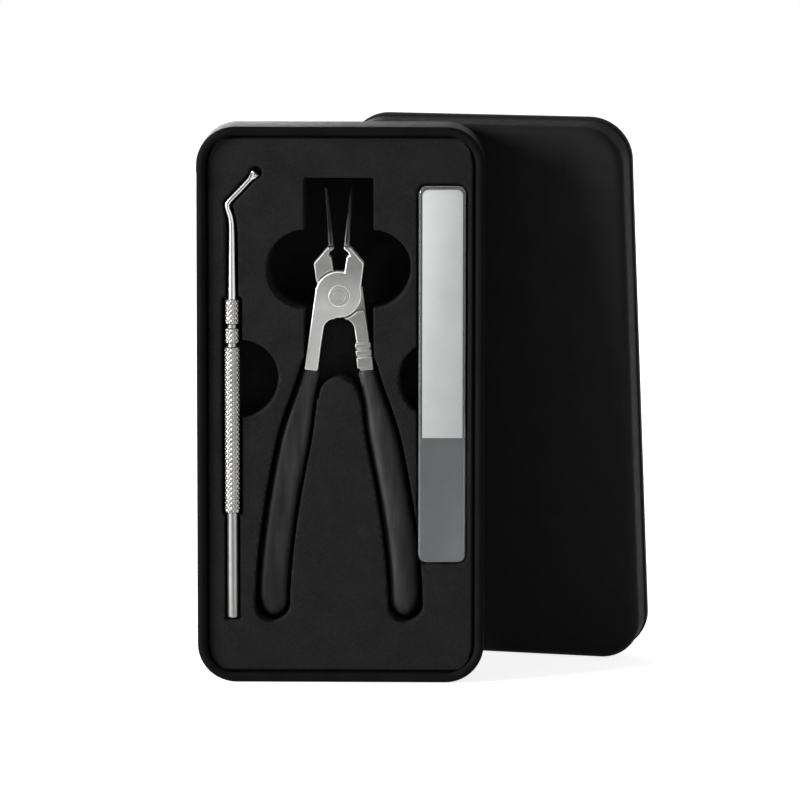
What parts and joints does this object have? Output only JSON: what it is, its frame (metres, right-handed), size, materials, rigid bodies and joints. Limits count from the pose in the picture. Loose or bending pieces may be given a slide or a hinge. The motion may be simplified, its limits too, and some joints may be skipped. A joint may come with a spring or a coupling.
{
  "type": "manicure set case",
  "caption": "Slip-lid tin with a cut foam insert that holds beaked nail nippers, a knurled nail lifter and a glass nail file.",
  "frame": {"origin": "middle of the base's flat end, on which the tin stands", "axes": "+Z along the tin's length, up from the end it stands on; -Y out of its open face; +X to its right"},
  "size_m": [0.1472, 0.0803, 0.1813],
  "materials": {
    "tin_black": "matte black baked lacquer on sheet steel",
    "lid_black": "matte black baked lacquer on sheet steel",
    "foam": "fine-celled black foam",
    "backing": "thin black foam sheet",
    "nipper_steel": "satin ground stainless steel",
    "rivet_steel": "turned stainless steel",
    "spring_steel": "bright spring wire",
    "grip_black": "dipped soft vinyl, satin",
    "knurled_steel": "diamond knurled stainless steel",
    "polished_steel": "polished stainless steel",
    "etched_glass": "clear glass with an etched white field"
  },
  "bodies": {
    "case": {"tin_base": "tin_black", "foam_insert": "foam", "foam_backing": "backing"},
    "lid": {"tin_lid": "lid_black"},
    "nipper_pivot": {"nipper_rivet": "rivet_steel", "nipper_spring": "spring_steel"},
    "front_lever": {"nipper_front_lever": "nipper_steel", "nipper_left_grip": "grip_black"},
    "rear_lever": {"nipper_rear_lever": "nipper_steel", "nipper_right_grip": "grip_black"},
    "lifter": {"lifter_handle": "knurled_steel", "lifter_rod": "polished_steel", "lifter_hook": "polished_steel"},
    "file": {"glass_file": "etched_glass"}
  },
  "joints": [
    {"name": "lid_lift", "type": "slide", "parent": "case", "child": "lid", "axis": [0, 0, 1], "range_m": [0, 0.2]},
    {"name": "nipper_pull", "type": "slide", "parent": "case", "child": "nipper_pivot", "axis": [0, -1, 0], "range_m": [0, 0.1]},
    {"name": "front_squeeze", "type": "hinge", "parent": "nipper_pivot", "child": "front_lever", "pos_m": [-0.0006, -0.0064, 0.1254], "axis": [0, 1, 0], "range_deg": [-5.8, 0], "stiffness_Nm_per_rad": 0.05, "springref_deg": 22.92},
    {"name": "rear_squeeze", "type": "hinge", "parent": "nipper_pivot", "child": "rear_lever", "pos_m": [-0.0006, -0.0064, 0.1254], "axis": [0, 1, 0], "range_deg": [0, 5.8], "stiffness_Nm_per_rad": 0.05, "springref_deg": -22.92},
    {"name": "lifter_pull", "type": "slide", "parent": "case", "child": "lifter", "axis": [0, -1, 0], "range_m": [0, 0.04]},
    {"name": "file_pull", "type": "slide", "parent": "case", "child": "file", "axis": [0, -1, 0], "range_m": [0, 0.04]}
  ],
  "couplings": [
    {"joint": "front_squeeze", "follows": "nipper_pull", "rad_per_m": -1.012},
    {"joint": "rear_squeeze", "follows": "nipper_pull", "rad_per_m": 1.012}
  ]
}
